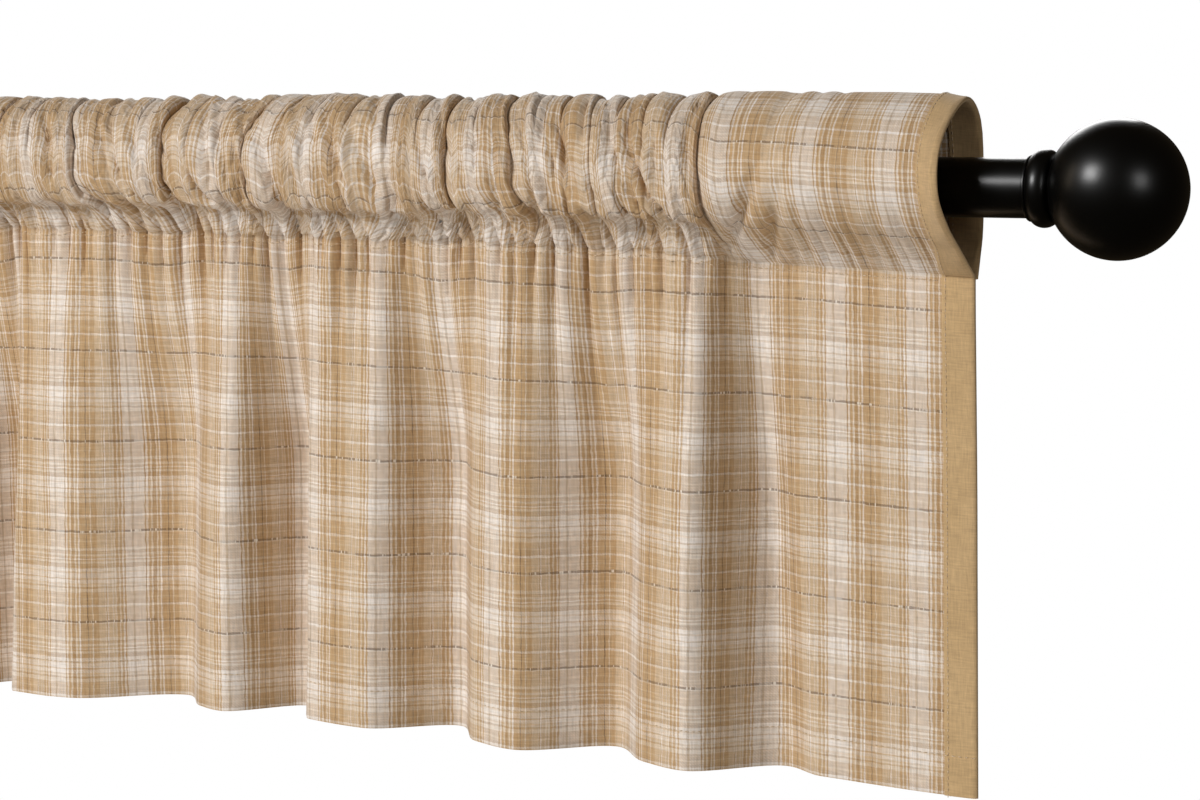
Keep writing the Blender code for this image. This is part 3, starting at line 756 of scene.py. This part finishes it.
def homespun(name, yarns):
    """A woven cloth material; yarns(tree, u, v) gives its warp and weft colours, the relief and where
    the weft floats over the warp."""
    material = bpy.data.materials.new(name)
    material.use_nodes = True
    tree = material.node_tree
    cloth = tree.nodes["Principled BSDF"]
    cloth.inputs["Roughness"].default_value = 0.86
    cloth.inputs["Specular IOR Level"].default_value = 0.25
    cloth.inputs["Sheen Weight"].default_value = 0.18
    cloth.inputs["Sheen Roughness"].default_value = 0.5
    uv = node(tree, "ShaderNodeUVMap", {"uv_map": "cloth"})
    split = node(tree, "ShaderNodeSeparateXYZ", Vector=uv.outputs[0])
    u = maths(tree, "MULTIPLY", split.outputs[0], 1000.0)
    v = maths(tree, "MULTIPLY", split.outputs[1], 1000.0)
    warp, weft, relief, floats = yarns(tree, u, v)
    turn = 2 * math.pi / YARN_PITCH
    over = maths(tree, "SINE", maths(tree, "MULTIPLY", u, turn))
    under = maths(tree, "SINE", maths(tree, "MULTIPLY", v, turn))
    slant = maths(tree, "SINE", maths(tree, "MULTIPLY", maths(tree, "ADD", u, v), turn / 2))
    weave = maths(tree, "MULTIPLY", maths(tree, "MULTIPLY", over, under), 0.5)
    share = maths(tree, "MULTIPLY_ADD", maths(tree, "ADD", weave, maths(tree, "MULTIPLY", slant, 0.2)),
                  0.5, 0.69)
    # a pale warp lets more of the weft show than a dark one does
    paleness = node(tree, "ShaderNodeRGBToBW", Color=warp)
    share = maths(tree, "MULTIPLY_ADD", paleness.outputs[0], -0.36, share)
    mottle = noise(tree, u, v, 0.75, 0.75, 2.0, 13.0)
    share = maths(tree, "MULTIPLY_ADD", mottle, 0.24, share)
    share = maths(tree, "MULTIPLY", share, maths(tree, "MULTIPLY_ADD", floats, -0.50, 1.0))
    colour = mixed(tree, share, weft, warp)
    thick = noise(tree, u, v, 1.5, 0.14, 2.0, 3.0)
    thin = noise(tree, u, v, 0.14, 1.5, 2.0, 7.0)
    uneven = maths(tree, "ADD", maths(tree, "MULTIPLY_ADD", thick, 0.30, 0.70),
                   maths(tree, "MULTIPLY", thin, 0.30))
    fleck = node(tree, "ShaderNodeMapRange", Value=uneven, i1=0.8, i2=1.2, i3=0.67, i4=1.33)
    tone = node(tree, "ShaderNodeCombineColor", Red=fleck.outputs[0], Green=fleck.outputs[0],
                Blue=fleck.outputs[0])
    colour = mixed(tree, 1.0, colour, tone.outputs[0], "MULTIPLY")
    tree.links.new(colour, cloth.inputs["Base Color"])
    height = maths(tree, "MULTIPLY_ADD", maths(tree, "ABSOLUTE", weave), 0.5, relief)
    fuzz = noise(tree, u, v, 2.3, 2.3, 3.0, 11.0)
    height = maths(tree, "MULTIPLY_ADD", fuzz, 0.5, height)
    bump = node(tree, "ShaderNodeBump", Height=height, Strength=0.35, Distance=0.00022)
    tree.links.new(bump.outputs["Normal"], cloth.inputs["Normal"])
    return material


def plaid_yarns(tree, u, v):
    """Charted warp and weft, their edges a little uneven, with nubbly slubs in brown and white, and
    painted shade along the crumple lines of the pocket.
    """
    drift_u = maths(tree, "MULTIPLY_ADD", noise(tree, u, v, 0.5, 0.22, 2.0, 21.0), 1.1, -0.55)
    drift_v = maths(tree, "MULTIPLY_ADD", noise(tree, u, v, 0.22, 0.5, 2.0, 23.0), 1.1, -0.55)
    fall = maths(tree, "SUBTRACT", DOWN_START + 6 * DOWN_REPEAT, maths(tree, "ADD", v, drift_v))
    down = maths(tree, "FLOORED_MODULO", fall, DOWN_REPEAT)
    left = maths(tree, "SUBTRACT", 9 * ACROSS_REPEAT - ACROSS_START, maths(tree, "ADD", u, drift_u))
    side = maths(tree, "FLOORED_MODULO", left, ACROSS_REPEAT)
    weft = chart_ramp(tree, down, DOWN, DOWN_REPEAT)
    warp = chart_ramp(tree, side, ACROSS, ACROSS_REPEAT)
    # where the slub picks lie, broken here and there
    at_slub = maths(tree, "ADD", maths(tree, "LESS_THAN", down, SLUB_BEFORE),
                    maths(tree, "GREATER_THAN", down, SLUB_AFTER))
    gaps = maths(tree, "GREATER_THAN", noise(tree, u, v, 0.16, 0.02, 1.0, 37.0), 0.43)
    at_slub = maths(tree, "MULTIPLY", at_slub, gaps)
    # paler yarns here and there among the others
    undyed = (0.61, 0.465, 0.305, 1.0)
    picks = smooth(tree, noise(tree, u, v, 0.03, 1.1, 1.0, 51.0), 0.40, 0.62)
    ends = smooth(tree, noise(tree, u, v, 1.1, 0.03, 1.0, 53.0), 0.40, 0.62)
    pale_picks = maths(tree, "MULTIPLY", picks, maths(tree, "MULTIPLY_ADD", at_slub, -0.27, 0.27))
    weft = mixed(tree, pale_picks, weft, undyed)
    warp = mixed(tree, maths(tree, "MULTIPLY", ends, 0.31), warp, undyed)
    # the slub picks: pale nubs along the brown ones
    nub = maths(tree, "GREATER_THAN", noise(tree, u, v, 0.95, 0.02, 2.0, 31.0), 0.60)
    weft = mixed(tree, maths(tree, "MULTIPLY", nub, at_slub), weft, (0.78, 0.70, 0.60, 1.0))
    # the crumpling of the cloth drawn up in the pocket, along and aslant: bumps, and painted shade that
    # darkens the crease lines a little
    drawn = smooth(tree, v, 221.0, 233.0)
    drawn = maths(tree, "MULTIPLY", drawn, smooth(tree, u, -78.0, -104.0))
    drawn = maths(tree, "MULTIPLY", drawn, smooth(tree, u, -740.0, -714.0))
    aslant = maths(tree, "MULTIPLY_ADD", v, 0.35, u)
    other = maths(tree, "MULTIPLY_ADD", v, -0.5, u)
    crumple = maths(tree, "ADD", crease_lines(tree, aslant, v, 0.085, 0.030, 41.0),
                    crease_lines(tree, other, v, 0.070, 0.040, 43.0))
    crumple = maths(tree, "MULTIPLY", crumple, drawn)
    # painted shade: warp and weft are drawn a little towards dark brown along the crumple lines
    painted_shade = (0.20, 0.12, 0.06, 1.0)
    warp = mixed(tree, maths(tree, "MULTIPLY", crumple, 0.05), warp, painted_shade)
    weft = mixed(tree, maths(tree, "MULTIPLY", crumple, 0.05), weft, painted_shade)
    crumple = maths(tree, "MULTIPLY", crumple, -6.5)
    return warp, weft, maths(tree, "MULTIPLY_ADD", at_slub, 0.8, crumple), at_slub


plaid_cloth = homespun("plaid_homespun", plaid_yarns)
panel_mesh = closed_sheet("plaid_panel", grid, front, back, cloth_uv, plaid_cloth)
panel = finish_piece("plaid_panel", panel_mesh, "valance_panel")

# ---- Side bindings ----
# A strip of plain tan twill, folded over each raw side edge of the panel and topstitched close to
# its inner edge.  It follows the open mouth of the pocket round and back.
STRIP = 0.6
LIFT = CLOTH / 2 + 0.32 + STRIP / 2
FOLD_INSIDE_EDGE = 1.4


def tan_yarns(tree, u, v):
    """One colour of yarn both ways, a little darker in places."""
    shade = noise(tree, u, v, 0.05, 0.03, 3.0, 5.0)
    tan = mixed(tree, shade, (0.465, 0.308, 0.148, 1.0), (0.560, 0.388, 0.204, 1.0))
    return tan, tan, 0.0, 0.0


tan_twill = homespun("tan_binding_twill", tan_yarns)


def binding_sheet(name, edge_x, inward, replaced):
    """The folded strip: from its inner edge round the panel's edge to the inner edge behind."""
    steps = [BINDING_WIDTH, BINDING_WIDTH - 0.8]
    steps += list(np.linspace(BINDING_WIDTH - 2.6, FOLD_INSIDE_EDGE, 8))
    xs = [edge_x + inward * s for s in steps]
    order = 1 if inward < 0 else -1
    shape, calm = cloth_lines(plain_columns(xs[::order]))
    # round the mouth the strip rolls inwards, and less of it shows in front
    rolled = [edge_x + inward * (FOLD_INSIDE_EDGE + (s - FOLD_INSIDE_EDGE) * 0.76) for s in steps]
    turned_in, _ = cloth_lines(plain_columns(rolled[::order]))
    rows = np.array([0.0] * len(SKIRT_HEIGHTS) + POCKET_ROWS)
    share = (ramp(rows, 0.0, 1.3) * (1 - ramp(rows, 6.0, 7.2)))[:, None, None]
    shape = mix(shape, turned_in, share)
    out = sheet_normals(shape)
    if order < 0:
        shape, calm, out = shape[:, ::-1], calm[:, ::-1], out[:, ::-1]
    run = np.cumsum(np.linalg.norm(np.diff(calm[:, -1, 1:], axis=0), axis=1))
    run = np.concatenate([[0.0], run])
    pucker = 0.22 * np.sin(run / 3.1) + 0.2 * np.sin(run / 5.3 + 1.0)
    lifts = np.full((len(run), len(steps)), LIFT) + pucker[:, None] * 0.6
    lifts[:, 0] -= 0.10
    lifts[:, 1] += 0.05
    ahead = shape + out * lifts[:, :, None]
    behind = (shape - out * lifts[:, :, None])[:, ::-1]
    last = shape[:, -1]
    outwards = np.array([-inward, 0.0, 0.0])
    bends = []
    for angle in (70, 42, 14, -14, -42, -70):
        a = math.radians(angle)
        round_the_edge = outwards * (1.25 + LIFT * 0.62) * math.cos(a)
        bends.append(last + out[:, -1] * LIFT * math.sin(a) + round_the_edge - outwards * 0.35)
    fold = np.concatenate([ahead, np.stack(bends, axis=1), behind], axis=1)
    width = np.cumsum(np.linalg.norm(np.diff(fold[len(run) // 2], axis=0), axis=1))
    width = np.concatenate([[0.0], width])
    uv = np.stack(np.meshgrid(width, run), axis=2)
    if order < 0:
        fold, uv = fold[:, ::-1], uv[:, ::-1]
    half = np.full(len(run), STRIP / 2)
    mesh = closed_sheet(name, fold, half, half, uv, tan_twill)
    piece = finish_piece(name, mesh, replaced)
    on_top = STRIP / 2 + 0.08
    seams = [sheet[:, 1] * 0.55 + sheet[:, 2] * 0.45 + out[:, 1] * side * on_top
             for sheet, side in ((ahead, 1), (shape - out * lifts[:, :, None], -1))]
    seams.append((ahead + out * on_top)[SKIRT_HEIGHTS.index(HEM_STITCH), 1:])
    return piece, (float(width[-1]) * MM, float(run[-1]) * MM), seams


bindings = {}
for side, edge_x, inward in (("right", RIGHT_EDGE_X, -1.0), ("left", LEFT_SEAT_X - RIGHT_EDGE_X, 1.0)):
    bindings[side] = binding_sheet(f"binding_{side}", edge_x, inward, f"side_binding_{side}")

# ---- Stitches ----
# Machine stitches in tan cotton: the rod pocket's line across the valance, the hem's line, and a line
# close to the inner edge of each binding, which shows on both its faces.
thread = bpy.data.materials.new("tan_thread")
thread.use_nodes = True
twist = thread.node_tree
spot = node(twist, "ShaderNodeTexCoord")
strands = node(twist, "ShaderNodeTexNoise", Vector=spot.outputs["Object"], Scale=1600.0, Detail=2.0)
shades = node(twist, "ShaderNodeValToRGB", Fac=strands.outputs["Fac"])
shades.color_ramp.elements[0].position, shades.color_ramp.elements[0].color = 0.35, (0.40, 0.27, 0.14, 1)
shades.color_ramp.elements[1].position, shades.color_ramp.elements[1].color = 0.65, (0.74, 0.60, 0.43, 1)
twist.links.new(shades.outputs["Color"], twist.nodes["Principled BSDF"].inputs["Base Color"])
twist.nodes["Principled BSDF"].inputs["Roughness"].default_value = 0.7

sewing = bpy.data.node_groups.new("machine_stitches", "GeometryNodeTree")
sockets = {}
for label, kind in (("Line", "NodeSocketGeometry"), ("Pitch", "NodeSocketFloat"),
                    ("Stitch length", "NodeSocketFloat"), ("Thread radius", "NodeSocketFloat"),
                    ("Thread", "NodeSocketMaterial")):
    sockets[label] = sewing.interface.new_socket(name=label, in_out="INPUT", socket_type=kind).identifier
sewing.interface.new_socket(name="Stitches", in_out="OUTPUT", socket_type="NodeSocketGeometry")
given = node(sewing, "NodeGroupInput")
curve = node(sewing, "GeometryNodeMeshToCurve", Mesh=given.outputs["Line"])
places = node(sewing, "GeometryNodeCurveToPoints", {"mode": "LENGTH"}, Curve=curve.outputs[0],
              Length=given.outputs["Pitch"])
bead = node(sewing, "GeometryNodeMeshUVSphere", Segments=8, Rings=5, Radius=1.0)
size = node(sewing, "ShaderNodeCombineXYZ", X=given.outputs["Stitch length"],
            Y=given.outputs["Thread radius"], Z=given.outputs["Thread radius"])
stitch = node(sewing, "GeometryNodeTransform", Geometry=bead.outputs["Mesh"], Scale=size.outputs[0])
smooth_stitch = node(sewing, "GeometryNodeSetShadeSmooth", Geometry=stitch.outputs[0])
facing = node(sewing, "FunctionNodeAlignRotationToVector", {"axis": "X"}, Vector=places.outputs["Tangent"])
wander = node(sewing, "FunctionNodeRandomValue", {"data_type": "FLOAT_VECTOR"}, Seed=5)
wander.inputs[0].default_value, wander.inputs[1].default_value = (-0.06,) * 3, (0.06,) * 3
turned_way = node(sewing, "FunctionNodeRotateRotation", Rotation=facing.outputs[0],
                  Rotate_By=wander.outputs[0])
sewn_row = node(sewing, "GeometryNodeInstanceOnPoints", Points=places.outputs["Points"],
                Instance=smooth_stitch.outputs[0], Rotation=turned_way.outputs[0])
real = node(sewing, "GeometryNodeRealizeInstances", Geometry=sewn_row.outputs[0])
dyed = node(sewing, "GeometryNodeSetMaterial", Geometry=real.outputs[0], Material=given.outputs["Thread"])
node(sewing, "NodeGroupOutput", i0=dyed.outputs[0])


def stitch_lines(name, lines, pitch, length, radius):
    """Stitches along lines of points, as one plain mesh; all sizes are in millimetres."""
    points, edges = [], []
    for line in lines:
        edges += [(len(points) + k, len(points) + k + 1) for k in range(len(line) - 1)]
        points += (np.asarray(line) * MM).tolist()
    guide = bpy.data.meshes.new(name + "_line")
    guide.from_pydata(points, edges, [])
    carrier = bpy.data.objects.new(name + "_line", guide)
    bpy.context.scene.collection.objects.link(carrier)
    modifier = carrier.modifiers.new("stitches", "NODES")
    modifier.node_group = sewing
    for label, value in (("Pitch", pitch * MM), ("Stitch length", length / 2 * MM),
                         ("Thread radius", radius * MM), ("Thread", thread)):
        modifier[sockets[label]] = value
    ready = bpy.context.evaluated_depsgraph_get()
    mesh = bpy.data.meshes.new_from_object(carrier.evaluated_get(ready))
    mesh.name = name
    carrier.modifiers.remove(modifier)
    bpy.data.objects.remove(carrier)
    return finish_piece(name, mesh)


outward = sheet_normals(grid)
hem_x = grid[0, :, 0]
span = (hem_x > LEFT_SEAT_X - RIGHT_EDGE_X + BINDING_WIDTH) & (hem_x < RIGHT_EDGE_X - BINDING_WIDTH)
surface = grid + outward * (CLOTH / 2 + 0.10)
pocket_row = len(SKIRT_HEIGHTS) - 1
stitch_lines("pocket_stitches", [surface[pocket_row, span]], pitch=2.7, length=2.1, radius=0.24)
hem_row = SKIRT_HEIGHTS.index(HEM_STITCH)
stitch_lines("hem_stitches", [surface[hem_row, span]], pitch=2.9, length=1.9, radius=0.17)
for side, (piece, flat, edges) in bindings.items():
    stitch_lines(f"binding_stitches_{side}", edges, pitch=2.6, length=1.9, radius=0.21)
